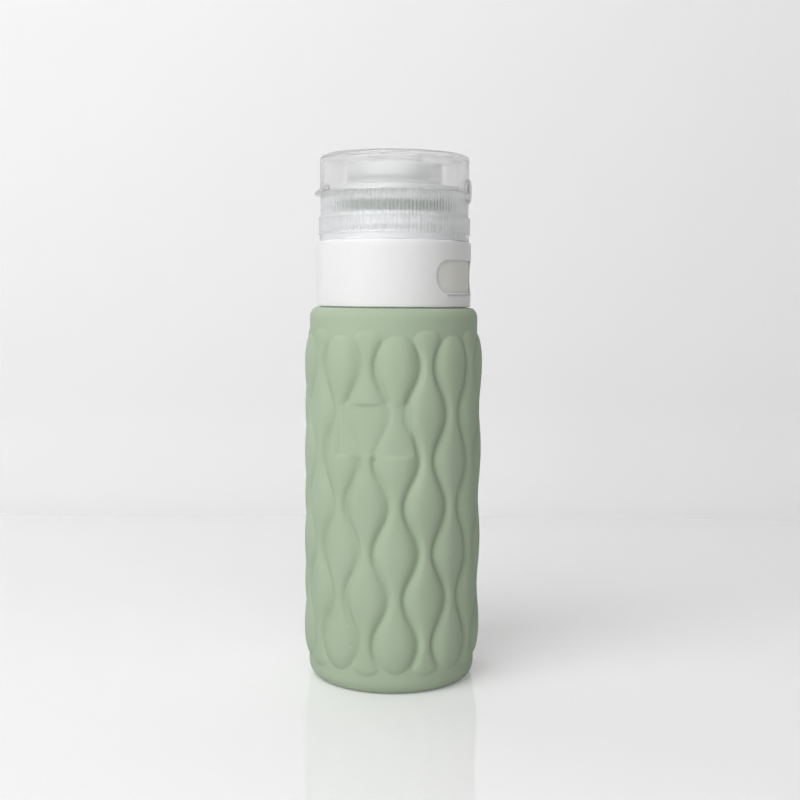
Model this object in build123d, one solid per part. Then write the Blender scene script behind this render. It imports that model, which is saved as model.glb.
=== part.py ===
from build123d import *

import os
from math import cos, floor, pi, radians, sin, sqrt, tau

# A travel bottle for toiletries: a squeezable silicone bottle with a screwed flip-top cap.
# Lengths are in millimetres. The bottle's axis is +Z and its base stands at height zero.
# Angles are in degrees about the axis, from +X towards +Y. The lid's hinge is at +X, and
# the photographed front faces -Y.

# Clearances between pieces
running_gap = 0.1
soft_gap = 0.3
seat_fit = 0.05
cut_overrun = 1.0

# Silicone bottle
body_radius = 21.3
body_height = 94.5
body_wall = 2.1
base_thickness = 2.6
base_round_width = 2.7
base_round_height = 3.6
base_recess_depth = 0.8
base_ring_width = 3.2
shoulder_round_width = 1.8
shoulder_round_height = 2.6
shoulder_thickness = 2.4
inner_rounding = 3.0
neck_bore_inset = 5.7
neck_wall = 1.4
lip_thickness = 2.5

# Puffed columns round the silicone bottle
column_count = 18
first_column_angle = -7.1
column_rise = 1.35
groove_drop = 0.15
groove_fade_height = 5.0
relief_foot_margin = 5.1
relief_head_margin = 5.3
wave_drop = 0.5
full_column_drop = 0.3
waves_along_columns = 3.71
full_column_waves = 1.5
full_end_inset = 0.9
flared_end_length = 3.2
flared_fade_length = 7.0
flared_end_rise_share = 0.32
mean_width_share = 0.455
swing_width_share = 0.245
flared_width_share = 0.5
groove_middle_share = 0.5
full_end_power = 2.1
flared_end_power = 2.8
rise_power = 0.4
crown_power = 2.8
points_per_column = 8
sections_along_columns = 36
sections_per_rounding = 5

# White neck ring, with the thread that the cap screws onto
neck_ring_wall = 1.6
neck_flange_thickness = 1.2
neck_flange_inset = 0.15
snap_bead_height = 0.6
snap_bead_rise = 0.6
thread_pitch = 3.1
thread_turns = 1.5
thread_depth = 0.8
thread_root_half_width = 0.75
thread_crest_half_width = 0.35
thread_embed = 0.3
thread_run_out_turns = 0.15
thread_steps_per_turn = 24
thread_end_share = 0.1

# Printed drum that the window shows, and the sleeve that turns round it
label_drum_wall = 0.9
label_drum_roof = 1.2
collar_height = 16.16
sleeve_wall = 0.55
sleeve_roof = 1.1
sleeve_edge_rounding = 0.3
window_length = 22.1
window_height = 8.1
window_foot_margin = 3.45
window_angle = -25.5

# Cap base: ribbed skirt, deck and valve turret
cap_foot_gap = 0.24
foot_band_height = 1.5
foot_band_inset = 0.6
lower_grip_height = 4.2
lower_grip_inset = 0.35
upper_grip_height = 6.1
upper_grip_inset = 0.8
grip_rib_pitch = 0.95
grip_rib_depth = 0.12
grip_valley_share = 0.5
deck_thickness = 1.4
seal_thickness = 0.7
seal_width = 2.6
thread_side_gap = 0.35
lid_seat_gap = 0.5
lid_seat_wall = 1.2
lid_seat_height = 1.3
turret_gap = 3.65
turret_head_gap = 1.1
turret_wall = 1.3
turret_rounding = 0.4
well_wall = 1.75
well_rim_rise = 0.8
valve_ledge_width = 3.0
valve_ledge_thickness = 1.0
lug_angle = -31.0
lug_arc = 15.0
lug_inset = 0.2
lug_height = 1.6
lug_drop = 0.14

# Slit valve and the ring that holds it
valve_flange_thickness = 1.1
valve_flange_width = 2.8
valve_membrane = 0.7
valve_dip = 1.0
valve_fall = 0.4
valve_slit_share = 5 / 9
valve_slit_width = 0.12
retainer_thickness = 1.3
retainer_width = 2.55

# Flip lid
lid_inset = 0.7
lid_wall = 1.3
lid_height = 9.15
lid_roof = 1.1
lid_foot_gap = 0.15
lid_rounding = 1.0
plug_gap = 0.8
plug_wall = 1.0
notch_height = 0.5
notch_angle = -87.0
notch_arc = 34.0
tab_reach = 1.35
tab_droop = 0.6
tab_thickness = 0.5
tab_height = 1.2
tab_root = 0.4
tab_arc = 64.0

# Living hinge between the cap base and the lid
strap_thickness = 0.3
strap_reach = 0.7
strap_foot_drop = 2.4
strap_top_rise = 3.35
strap_pad = 0.6
strap_arc = 38.0

# Heights and radii that follow from the sizes above
full_turn = 360.0
bulge_radius = body_radius + column_rise
groove_radius = body_radius - groove_drop
base_radius = body_radius - base_round_width
inner_radius = body_radius - body_wall
relief_foot = relief_foot_margin
relief_top = body_height - relief_head_margin
relief_half_height = (relief_top - relief_foot) / 2
relief_middle_height = (relief_top + relief_foot) / 2
wave_middle_height = relief_middle_height - wave_drop
wave_period = (relief_top - relief_foot) / waves_along_columns
full_straight_length = full_column_waves * wave_period
full_end_length = relief_half_height - full_end_inset - full_straight_length
flared_end_start = relief_half_height - flared_end_length
neck_bore_radius = inner_radius - neck_bore_inset
neck_radius = neck_bore_radius + neck_wall
neck_ring_bore = neck_radius + running_gap
neck_ring_radius = neck_ring_bore + neck_ring_wall
collar_radius = body_radius - shoulder_round_width
collar_foot = body_height + soft_gap
collar_top = collar_foot + collar_height
skirt_foot = collar_top + cap_foot_gap
foot_band_top = skirt_foot + foot_band_height
lower_grip_top = foot_band_top + lower_grip_height
deck_top = lower_grip_top + upper_grip_height
deck_underside = deck_top - deck_thickness
seal_foot = deck_underside - running_gap - seal_thickness
lip_top = seal_foot - soft_gap
neck_ring_top = lip_top - lip_thickness
skirt_bore = neck_ring_radius + thread_depth + thread_side_gap
foot_band_radius = collar_radius - foot_band_inset
lower_grip_radius = collar_radius - lower_grip_inset
upper_grip_radius = collar_radius - upper_grip_inset
lug_radius = collar_radius - lug_inset
thread_foot = neck_ring_top - thread_root_half_width - thread_turns * thread_pitch
sleeve_bore = collar_radius - sleeve_wall
label_drum_radius = sleeve_bore - running_gap
label_drum_top = collar_top - sleeve_roof - running_gap
neck_flange_top = body_height + neck_flange_thickness
lid_radius = collar_radius - lid_inset
lid_bore = lid_radius - lid_wall
lid_foot = deck_top + lid_foot_gap
lid_top = lid_foot + lid_height
lid_ceiling = lid_top - lid_roof
lid_seat_radius = lid_bore - lid_seat_gap
turret_radius = lid_seat_radius - lid_seat_wall - turret_gap
turret_top = lid_ceiling - turret_head_gap
well_radius = turret_radius - well_wall
retainer_top = turret_top - well_rim_rise
valve_top = retainer_top - retainer_thickness
valve_seat = valve_top - valve_flange_thickness
valve_opening_radius = well_radius - valve_ledge_width
retainer_radius = well_radius - seat_fit
plug_radius = retainer_radius - retainer_width - plug_gap


def profile(*corners):
    """A face in the radius and height plane; a corner's third number is its rounding."""
    face = Face(Wire.make_polygon([Vector(r, 0, z) for r, z, *_ in corners], close=True))
    for r, z, *rounding in corners:
        if rounding:
            place = Vector(r, 0, z)
            corner = min(face.vertices(), key=lambda v: (Vector(v) - place).length)
            face = face.fillet_2d(rounding[0], [corner])
    return face


def turned(face, middle_angle=0.0, arc=full_turn):
    """The solid that a profile makes as it turns about the bottle's axis."""
    solid = revolve(face, Axis.Z, revolution_arc=arc)
    return Rot(0, 0, middle_angle - arc / 2) * solid


def ring(inner, outer, foot, top):
    """A plain tube round the bottle's axis."""
    return turned(profile((inner, foot), (outer, foot), (outer, top), (inner, top)))


def thread_ridge(root, crest, start_angle):
    """A right-hand screw ridge that rises from the thread's foot and fades at both ends."""
    steps = round(thread_turns * thread_steps_per_turn)
    run_out_steps = thread_run_out_turns * thread_steps_per_turn
    sections = []
    for step in range(steps + 1):
        turns = step / thread_steps_per_turn
        angle = radians(start_angle) + tau * turns
        height = thread_foot + thread_pitch * turns
        fade = min(1, min(step, steps - step) / run_out_steps)
        grown = thread_end_share + (1 - thread_end_share) * fade
        tip = root + (crest - root) * grown
        corners = (
            (root, -thread_root_half_width),
            (tip, -thread_crest_half_width),
            (tip, thread_crest_half_width),
            (root, thread_root_half_width),
        )
        points = [Vector(r * cos(angle), r * sin(angle), height + z) for r, z in corners]
        sections.append(Wire.make_polygon(points, close=True))
    return Solid.make_loft(sections)


def end_share(past, power):
    """How much of a column's width is left at a share of the way along its rounded end."""
    return max(0, 1 - past**power) ** (1 / power)


def past_last_bulge(height):
    """How far along a full column's rounded end a height is: one at its very end."""
    distance = abs(height - relief_middle_height + full_column_drop)
    return (distance - full_straight_length) / full_end_length


def column_half_width(height, is_full):
    """Half a column's width at a height, as a share of the columns' spacing."""
    wave = cos(tau * (height - wave_middle_height) / wave_period)
    if is_full:
        past_bulge = past_last_bulge(height)
        if past_bulge <= 0:
            return mean_width_share - swing_width_share * wave
        widest = mean_width_share + swing_width_share
        return widest * end_share(past_bulge, full_end_power)
    half_width = mean_width_share + swing_width_share * wave
    past_flare = (abs(height - relief_middle_height) - flared_end_start) / flared_end_length
    if past_flare <= 0:
        return half_width
    return min(half_width, flared_width_share * end_share(past_flare, flared_end_power))


def crown_share(height, is_full):
    """How much of its rise a column keeps at a height: its ends slope away softly."""
    if is_full:
        return end_share(max(0, past_last_bulge(height)), full_end_power)
    left = (relief_half_height - abs(height - relief_middle_height)) / flared_fade_length
    return flared_end_rise_share + (1 - flared_end_rise_share) * min(1, max(0, left))


def ellipse_inset(width, height, distance):
    """How far an elliptical rounding draws in at a distance past where it starts."""
    return width * (1 - sqrt(max(0, 1 - (distance / height) ** 2)))


def plain_radius(height):
    """The silicone bottle's outer radius without its columns."""
    if height < base_round_height:
        return body_radius - ellipse_inset(
            base_round_width, base_round_height, base_round_height - height
        )
    past = height - (body_height - shoulder_round_height)
    if past > 0:
        return body_radius - ellipse_inset(shoulder_round_width, shoulder_round_height, past)
    return body_radius


def puffed_radius(column, height):
    """The outer radius at a place that is counted in columns round the bottle."""
    inside = (relief_half_height - abs(height - relief_middle_height)) / groove_fade_height
    inside = min(1, max(0, inside))
    valley = plain_radius(height) - groove_drop * inside**2 * (3 - 2 * inside)
    rise = 0.0
    for near in (floor(column), floor(column) + 1):
        is_full = near % 2 == 0
        half_width = column_half_width(height, is_full)
        if abs(column - near) < half_width:
            widest = mean_width_share + swing_width_share
            crown = (bulge_radius - groove_radius) * (half_width / widest) ** rise_power
            crown *= crown_share(height, is_full)
            across = abs(column - near) / half_width
            rise = max(rise, crown * (1 - across**crown_power))
    return valley + rise


def outline_point(place, height):
    """A point of the silicone bottle's outside at a place counted in columns."""
    radius = puffed_radius(place, height)
    angle = radians(first_column_angle) + tau * place / column_count
    return Vector(radius * cos(angle), radius * sin(angle), height)


def body_section(height):
    """One level outline of the silicone bottle: a curve for each column, groove to groove."""
    wave = swing_width_share * cos(tau * (height - wave_middle_height) / wave_period)
    rows = []
    for column in range(column_count):
        reach = groove_middle_share - wave if column % 2 == 0 else groove_middle_share + wave
        places = [
            column + reach * (2 * step / points_per_column - 1)
            for step in range(points_per_column)
        ]
        rows.append([outline_point(place, height) for place in places])
    steps = [step / points_per_column for step in range(points_per_column + 1)]
    curves = []
    for row, next_row in zip(rows, rows[1:] + rows[:1]):
        curves.append(Edge.make_spline(row + next_row[:1], parameters=steps))
    return Wire(curves)


def section_heights():
    """Heights of the silicone bottle's level outlines, closer together in its roundings."""
    quarter = [pi / 2 * step / sections_per_rounding for step in range(sections_per_rounding + 1)]
    relief_step = (relief_top - relief_foot) / sections_along_columns
    shoulder = body_height - shoulder_round_height
    heights = [base_round_height * (1 - cos(angle)) for angle in quarter]
    heights += [relief_foot + relief_step * step for step in range(sections_along_columns + 1)]
    heights += [shoulder + shoulder_round_height * sin(angle) for angle in quarter]
    return heights


def make_silicone_body():
    """Soft bottle with puffed wavy columns, and a neck that ends in a sealing lip."""
    shell = Solid.make_loft([body_section(height) for height in section_heights()])
    neck_foot = body_height - shoulder_thickness
    neck = turned(
        profile(
            (0, neck_foot),
            (neck_radius, neck_foot),
            (neck_radius, neck_ring_top),
            (neck_ring_radius, neck_ring_top),
            (neck_ring_radius, lip_top),
            (0, lip_top),
        )
    )
    inside = turned(
        profile(
            (0, base_thickness),
            (inner_radius, base_thickness, inner_rounding),
            (inner_radius, neck_foot, inner_rounding),
            (neck_bore_radius, neck_foot),
            (neck_bore_radius, lip_top + cut_overrun),
            (0, lip_top + cut_overrun),
        )
    )
    recess = ring(0, base_radius - base_ring_width, -cut_overrun, base_recess_depth)
    return shell + neck - inside - recess


def make_neck_ring():
    """Rigid ring round the silicone neck, with a foot flange, a snap bead and the thread."""
    flange_radius = label_drum_radius - neck_flange_inset
    tube = ring(neck_ring_bore, neck_ring_radius, body_height, neck_ring_top)
    flange = ring(neck_ring_bore, flange_radius, body_height, neck_flange_top)
    bead_foot = collar_top + running_gap
    bead_radius = neck_ring_radius + snap_bead_rise
    bead = ring(neck_ring_bore, bead_radius, bead_foot, bead_foot + snap_bead_height)
    crest = neck_ring_radius + thread_depth
    ridge = thread_ridge(neck_ring_radius - thread_embed, crest, 0.0)
    return tube + flange + bead + ridge


def make_label_drum():
    """Drum that carries the contents marks behind the sleeve's window."""
    inner = label_drum_radius - label_drum_wall
    wall = ring(inner, label_drum_radius, neck_flange_top, label_drum_top)
    roof_foot = label_drum_top - label_drum_roof
    roof = ring(neck_ring_radius + seat_fit, label_drum_radius, roof_foot, label_drum_top)
    return wall + roof


def window_cutter():
    """Round-ended slot that follows the sleeve's curve."""
    half_height = window_height / 2
    centre = collar_foot + window_foot_margin + half_height
    inner, outer = sleeve_bore - cut_overrun, collar_radius + cut_overrun
    straight = (window_length - window_height) / collar_radius * full_turn / tau
    band = profile(
        (inner, centre - half_height),
        (outer, centre - half_height),
        (outer, centre + half_height),
        (inner, centre + half_height),
    )
    cutter = turned(band, window_angle, straight)
    for angle in (window_angle - straight / 2, window_angle + straight / 2):
        way = Vector(cos(radians(angle)), sin(radians(angle)), 0)
        start = Plane(way * inner + Vector(0, 0, centre), z_dir=way)
        cutter += Solid.make_cylinder(half_height, outer - inner, start)
    return cutter


def make_window_sleeve():
    """White collar that turns round the label drum, with a window in its side."""
    roof_foot = collar_top - sleeve_roof
    shell = turned(
        profile(
            (sleeve_bore, collar_foot),
            (collar_radius, collar_foot),
            (collar_radius, collar_top, sleeve_edge_rounding),
            (neck_ring_radius + running_gap, collar_top),
            (neck_ring_radius + running_gap, roof_foot),
            (sleeve_bore, roof_foot),
        )
    )
    return shell - window_cutter()


def make_cap_seal():
    """Flat ring under the cap's deck, which closes on the silicone lip."""
    outer = neck_ring_radius
    return ring(outer - seal_width, outer, seal_foot, seal_foot + seal_thickness)


def grip_band(radius, foot, top):
    """A band of fine upright ribs, solid to the axis."""
    ribs = round(tau * radius / grip_rib_pitch)
    points = []
    for rib in range(ribs):
        for share, reach in ((0, radius), (grip_valley_share, radius - grip_rib_depth)):
            angle = tau * (rib + share) / ribs
            points.append(Vector(reach * cos(angle), reach * sin(angle), foot))
    outline = Face(Wire.make_polygon(points, close=True))
    return Solid.extrude(outline, Vector(0, 0, top - foot))


def make_cap_base():
    """Ribbed screw cap: skirt with the inner thread, deck, lid seat and valve turret."""
    skirt = grip_band(lower_grip_radius, foot_band_top, lower_grip_top)
    skirt += grip_band(upper_grip_radius, lower_grip_top, deck_top)
    skirt += ring(0, foot_band_radius, skirt_foot, foot_band_top)
    skirt -= ring(0, skirt_bore, skirt_foot - cut_overrun, deck_underside)
    turret = turned(
        profile(
            (0, deck_underside),
            (turret_radius, deck_underside),
            (turret_radius, turret_top, turret_rounding),
            (0, turret_top),
        )
    )
    seat = ring(lid_seat_radius - lid_seat_wall, lid_seat_radius, deck_top, deck_top + lid_seat_height)
    chamber_top = valve_seat - valve_ledge_thickness
    hollow = ring(0, turret_radius - turret_wall, deck_underside - cut_overrun, chamber_top)
    hollow += ring(0, valve_opening_radius, chamber_top - cut_overrun, valve_seat + cut_overrun)
    hollow += ring(0, well_radius, valve_seat, turret_top + cut_overrun)
    ridge_crest = skirt_bore - thread_depth
    ridge = thread_ridge(skirt_bore + thread_embed, ridge_crest, -full_turn / 2)
    lug_face = profile(
        (skirt_bore, skirt_foot - lug_drop),
        (lug_radius, skirt_foot - lug_drop),
        (lug_radius, skirt_foot + lug_height),
        (skirt_bore, skirt_foot + lug_height),
    )
    lug = turned(lug_face, lug_angle, lug_arc)
    return skirt + turret + seat - hollow + ridge + lug


def make_slit_valve():
    """Soft valve with a dished membrane and a cross slit, which opens when squeezed."""
    rim = well_radius - soft_gap
    rim_inner = rim - valve_flange_width
    dish = rim_inner - valve_dip
    disc = turned(
        profile(
            (0, valve_seat - valve_dip),
            (dish, valve_seat - valve_dip + valve_fall),
            (rim_inner - seat_fit, valve_seat),
            (rim, valve_seat),
            (rim, valve_top),
            (rim_inner, valve_top),
            (dish, valve_seat - valve_dip + valve_fall + valve_membrane),
            (0, valve_seat - valve_dip + valve_membrane),
        )
    )
    middle = Vector(0, 0, valve_seat)
    slit_length = 2 * dish * valve_slit_share
    for turn in (0, full_turn / 4):
        slit = Box(slit_length, valve_slit_width, 2 * valve_dip + 2 * cut_overrun)
        disc -= Pos(middle) * Rot(0, 0, turn) * slit
    return disc


def make_valve_retainer():
    """Ring pressed into the turret over the valve's rim."""
    return ring(retainer_radius - retainer_width, retainer_radius, valve_top, retainer_top)


def make_flip_lid():
    """Clear lid with a plug ring for the valve, a front notch and a thumb tab."""
    shell = turned(
        profile(
            (0, lid_foot),
            (lid_radius, lid_foot),
            (lid_radius, lid_top, lid_rounding),
            (0, lid_top),
        )
    )
    shell -= ring(0, lid_bore, lid_foot - cut_overrun, lid_ceiling)
    plug = ring(plug_radius - plug_wall, plug_radius, valve_top + soft_gap, lid_ceiling + lid_roof / 2)
    notch = profile(
        (lid_bore - cut_overrun, lid_foot - cut_overrun),
        (lid_radius + cut_overrun, lid_foot - cut_overrun),
        (lid_radius + cut_overrun, lid_foot + notch_height),
        (lid_bore - cut_overrun, lid_foot + notch_height),
    )
    tip = lid_radius + tab_reach
    tab = profile(
        (lid_radius - tab_root, lid_foot),
        (lid_radius + tab_root, lid_foot),
        (tip, lid_foot - tab_droop),
        (tip, lid_foot - tab_droop + tab_thickness),
        (lid_radius, lid_foot + tab_height),
        (lid_radius - tab_root, lid_foot + tab_height),
    )
    shell += turned(tab, full_turn / 2, tab_arc)
    return shell + plug - turned(notch, notch_angle, notch_arc)


def make_hinge_strap():
    """Thin bowed strap that joins the lid to the cap base and folds as the lid opens."""
    foot = deck_top - strap_foot_drop
    top = lid_foot + strap_top_rise
    middle = (foot + top) / 2
    foot_wall = upper_grip_radius + running_gap
    top_wall = lid_radius + running_gap
    reach = lid_radius + strap_reach
    outer = ThreePointArc((foot_wall, 0, foot), (reach, 0, middle), (top_wall, 0, top))
    inner = ThreePointArc(
        (top_wall, 0, top - strap_pad),
        (reach - strap_thickness, 0, middle),
        (foot_wall, 0, foot + strap_pad),
    )
    upper_end = Line(outer @ 1, inner @ 0)
    lower_end = Line(inner @ 1, outer @ 0)
    return turned(make_face([outer, upper_end, inner, lower_end]), 0.0, strap_arc)


def main():
    pieces = {
        "silicone_body": make_silicone_body(),
        "neck_ring": make_neck_ring(),
        "label_drum": make_label_drum(),
        "window_sleeve": make_window_sleeve(),
        "cap_seal": make_cap_seal(),
        "cap_base": make_cap_base(),
        "slit_valve": make_slit_valve(),
        "valve_retainer": make_valve_retainer(),
        "flip_lid": make_flip_lid(),
        "hinge_strap": make_hinge_strap(),
    }
    os.makedirs("parts", exist_ok=True)
    for name, piece in pieces.items():
        export_step(piece, f"parts/{name}.step")


main()
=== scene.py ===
from math import cos, pi, radians, sin, sqrt, tan, tau

import bmesh
import bpy
import numpy as np
from mathutils import Matrix, Vector


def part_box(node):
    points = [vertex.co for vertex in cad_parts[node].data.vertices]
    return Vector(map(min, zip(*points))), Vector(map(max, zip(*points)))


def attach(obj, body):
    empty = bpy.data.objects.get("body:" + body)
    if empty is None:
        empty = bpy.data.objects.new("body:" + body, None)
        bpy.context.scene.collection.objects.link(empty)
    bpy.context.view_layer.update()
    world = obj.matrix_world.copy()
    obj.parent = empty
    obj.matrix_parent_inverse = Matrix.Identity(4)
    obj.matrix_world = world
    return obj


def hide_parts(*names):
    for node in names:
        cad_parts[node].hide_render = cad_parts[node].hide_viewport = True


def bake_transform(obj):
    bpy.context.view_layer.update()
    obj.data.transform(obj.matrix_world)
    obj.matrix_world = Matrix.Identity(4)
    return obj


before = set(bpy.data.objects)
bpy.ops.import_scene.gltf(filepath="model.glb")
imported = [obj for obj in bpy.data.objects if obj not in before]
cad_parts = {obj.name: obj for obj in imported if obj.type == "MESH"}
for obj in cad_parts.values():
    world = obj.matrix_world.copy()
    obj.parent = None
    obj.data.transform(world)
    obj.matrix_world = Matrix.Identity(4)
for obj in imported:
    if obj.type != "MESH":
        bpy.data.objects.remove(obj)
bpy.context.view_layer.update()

# A travel bottle for toiletries, dressed round its CAD frame.
# Lengths are in millimetres and angles in degrees, from +X towards +Y, unless a comment
# says otherwise. The mesh builder turns millimetres into metres.
MM = 0.001


def frame_box(node):
    """The lowest and highest corners of a CAD node, in millimetres."""
    low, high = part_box(node)
    return [value / MM for value in low], [value / MM for value in high]


body_high = frame_box("silicone_body")[1]
ring_low, ring_high = frame_box("neck_ring")
sleeve_low, sleeve_high = frame_box("window_sleeve")
cap_low, cap_high = frame_box("cap_base")
lid_high = frame_box("flip_lid")[1]
strap_low, strap_high = frame_box("hinge_strap")
valve_high = frame_box("slit_valve")[1]

# Silicone bottle
body_radius = 21.3
body_height = ring_low[2]
body_wall = 2.1
base_thickness = 2.6
base_round_width = 2.7
base_round_height = 3.6
base_recess_depth = 0.8
base_ring_width = 3.2
shoulder_round_width = 1.8
shoulder_round_height = 2.6
shoulder_thickness = 2.4
inner_rounding = 3.0
neck_bore_radius = 13.5
neck_wall = 1.4
lip_radius = 16.6
lip_top = body_high[2]
lip_foot = ring_high[2]
lip_rounding = 0.35

# Puffed columns round the silicone bottle
column_count = 18
first_column_angle = -7.1
column_rise = 1.35
groove_drop = 0.15
groove_fade_height = 5.0
relief_foot = 5.1
relief_top = body_height - 5.3
wave_drop = 0.5
full_column_drop = 0.3
waves_along_columns = 3.71
full_column_waves = 1.5
full_end_inset = 0.9
flared_end_length = 3.2
flared_fade_length = 7.0
flared_end_rise_share = 0.32
mean_width_share = 0.455
swing_width_share = 0.245
flared_width_share = 0.5
groove_middle_share = 0.5
full_end_power = 2.1
flared_end_power = 2.8
rise_power = 0.4
crown_power = 2.8
relief_blur = 0.17

# Bare moulded panel on the front
panel_foot = 59.0
panel_top = 71.6
panel_left_angle = -128.0
panel_right_angle = -77.0
panel_depth = 0.15
panel_edge = 0.35
panel_edge_angle = 0.7
panel_blend = 1.5
panel_blend_angle = 4.0
panel_blur_height = 6.0
panel_blur_width = 5.0
panel_flatten_share = 0.65

# Parting line of the silicone mould
parting_angle = -21.0
parting_width = 0.35
parting_rise = 0.05
parting_foot = 1.44
parting_top = body_height - 0.6
parting_rows = 240
# Each point's place across the line and its lift, as shares of the line's width and rise
parting_profile_shares = (
    (-0.5, -0.25),
    (-0.25, 0.7),
    (0.0, 1.0),
    (0.25, 0.7),
    (0.5, -0.25),
    (0.0, -1.0),
)

# Collar with its window
collar_radius = sleeve_high[0]
collar_foot = sleeve_low[2]
collar_top = sleeve_high[2]
sleeve_wall = 0.55
sleeve_roof = 1.1
sleeve_bore = collar_radius - sleeve_wall
collar_edge_rounding = 0.45
collar_foot_rounding = 0.2
collar_crown_height = 2.4
collar_crown_depth = 0.1
roof_bore_radius = 16.7
window_length = 22.1
window_height = 8.1
window_foot_margin = 3.45
window_angle = -25.5
window_edge_rounding = 0.3

# Cap base
lug_drop = 0.14
skirt_foot = cap_low[2] + lug_drop
turret_top = cap_high[2]
foot_band_radius = 18.9
foot_band_height = 1.5
lower_grip_radius = 19.15
lower_grip_height = 4.2
upper_grip_radius = 18.7
deck_top = skirt_foot + 11.8
deck_thickness = 1.4
skirt_bore = 17.75
grip_rib_count = 126
grip_rib_depth = 0.26
rib_fade_height = 0.35
rib_valley_power = 1.4
band_margin = 0.3
lid_seat_radius = 17.0
lid_seat_wall = 1.2
lid_seat_height = 1.3
turret_radius = 12.15
turret_wall = 1.3
well_radius = 10.4
valve_opening_radius = 7.4
valve_ledge_thickness = 1.0
valve_rise = 1.1
small_rounding = 0.15
turret_rounding = 0.4
lug_angle = -31.0
lug_arc = 15.0
lug_radius = 19.3
lug_height = 1.6
lug_ramp_angle = 0.8
thread_pitch = 3.1
thread_turns = 1.5
thread_start_angle = -180.0
thread_depth = 0.8
thread_root_half_width = 0.75
thread_crest_half_width = 0.35
thread_run_out_turns = 0.15

# Flip lid
lid_radius = lid_high[1]
lid_wall = 1.3
lid_foot = deck_top + 0.15
lid_top = lid_high[2]
lid_roof = 1.1
lid_rounding = 1.0
lid_inner_rounding = 0.5
plug_radius = 7.0
plug_wall = 1.0
plug_foot = valve_high[2] + 0.3
notch_height = 0.5
notch_angle = -87.0
notch_arc = 34.0
notch_ramp_angle = 1.2
tab_reach = 1.35
tab_droop = 0.6
tab_thickness = 0.5
tab_height = 1.2
tab_root = 0.4
tab_arc = 64.0
tab_end_angle = 7.0

# Living hinge
strap_thickness = 0.3
strap_pad = 0.6
strap_arc = 38.0
strap_gap = 0.05
strap_bow_power = 0.8
strap_corner_share = 0.15
strap_narrowing_share = 0.12
strap_reach_radius = strap_high[0]

# How far the sealing lip inside the cap is painted darker, as painted shade, and the share of light
# left in the grooves by their painted shade
lip_painted_shade = 0.85
groove_shade = 0.72

# How much of the light passes the clear plastic on its way to what is inside
clear_shadow_share = 0.75

# Mesh fineness
full_turn = 360.0
points_per_column = 28
straight_spacing_share = 0.6
grid_step = 0.25
grid_places_per_column = 48
row_spacing = 0.33
support_gap = 0.12
arc_points = 7
base_arc_steps = 14
recess_ring_shares = (0.25, 0.5, 0.75, 0.97)
longest_inside_step = 4.0
collar_steps = 360
patch_margin = 1.3
patch_half_steps = 5
patch_side_points = 8
patch_ring_shares = (0.5, 0.8)
steps_per_rib = 8
skirt_row_spacing = 0.2
band_row_spacing = 0.45
lid_steps = 480
lid_row_spacing = 1.0
tab_row_spacing = 0.4
strap_bow_steps = 32
strap_width_steps = 40
# Lengths closer than these count as the same
same_length = 0.01
tiny = 1e-6


def smoothstep(value):
    """Zero below zero, one above one, and smooth between."""
    inside = np.clip(value, 0.0, 1.0)
    return inside * inside * (3.0 - 2.0 * inside)


def rounded(corners, closed=True):
    """Points along a profile of (radius, height) corners, with support points.

    A corner's third value is its rounding, which is small_rounding where it has none."""
    corners = [(*corner, small_rounding)[:3] for corner in corners]
    points = []
    count = len(corners)
    for index, (r, z, rounding) in enumerate(corners):
        here = np.array([r, z])
        is_end = not closed and index in (0, count - 1)
        if rounding == 0 or is_end:
            points.append(here)
            continue
        before = np.array(corners[index - 1][:2]) - here
        after = np.array(corners[(index + 1) % count][:2]) - here
        before_length, after_length = np.linalg.norm(before), np.linalg.norm(after)
        before, after = before / before_length, after / after_length
        half = np.arccos(np.clip(before @ after, -1, 1)) / 2
        reach = rounding / tan(half)
        middle = before + after
        centre = here + middle / np.linalg.norm(middle) * rounding / sin(half)
        start, end = here + before * reach, here + after * reach
        gap = min(support_gap, (before_length - reach) / 3)
        points.append(start + before * gap)
        first, last = start - centre, end - centre
        sweep = np.arccos(np.clip(first @ last / rounding**2, -1, 1))
        for step in range(arc_points):
            share = step / (arc_points - 1)
            weights = sin((1 - share) * sweep), sin(share * sweep)
            points.append(centre + (first * weights[0] + last * weights[1]) / sin(sweep))
        gap = min(support_gap, (after_length - reach) / 3)
        points.append(end + after * gap)
    return points


def divided(points, longest):
    """The same line with no step longer than the given length."""
    result = [points[0]]
    for start, end in zip(points, points[1:]):
        pieces = max(1, int(np.ceil(np.linalg.norm(end - start) / longest)))
        for step in range(1, pieces + 1):
            result.append(start + (end - start) * step / pieces)
    return result


def make_object(name, vertices, faces, body, material):
    """A smooth mesh piece from points in millimetres, which rides on a body."""
    mesh = bpy.data.meshes.new(name)
    mesh.from_pydata((np.asarray(vertices) * MM).tolist(), [], faces)
    mesh.update()
    piece = bpy.data.objects.new(name, mesh)
    bpy.context.scene.collection.objects.link(piece)
    for polygon in mesh.polygons:
        polygon.use_smooth = True
    mesh.materials.append(material)
    if body:
        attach(piece, body)
    face_outwards(piece)
    return piece


def turned_mesh(rows, is_closed, start_pole=None, end_pole=None):
    """Vertices and faces of rings of points, joined row to row all the way round.

    rows has the shape (row, step, 3). A pole is a point that closes the first or last ring."""
    count, steps = rows.shape[:2]
    vertices = [tuple(point) for row in rows for point in row]
    faces = []
    row_pairs = [(row, row + 1) for row in range(count - 1)]
    if is_closed:
        row_pairs.append((count - 1, 0))
    for row, following in row_pairs:
        here, there = row * steps, following * steps
        for step in range(steps):
            beside = (step + 1) % steps
            faces.append((here + step, here + beside, there + beside, there + step))
    for pole, row in ((start_pole, 0), (end_pole, count - 1)):
        if pole is None:
            continue
        vertices.append(tuple(pole))
        tip = len(vertices) - 1
        for step in range(steps):
            beside = (step + 1) % steps
            edge = (row * steps + beside, row * steps + step, tip)
            faces.append(edge if row == 0 else edge[::-1])
    return vertices, faces


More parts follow.
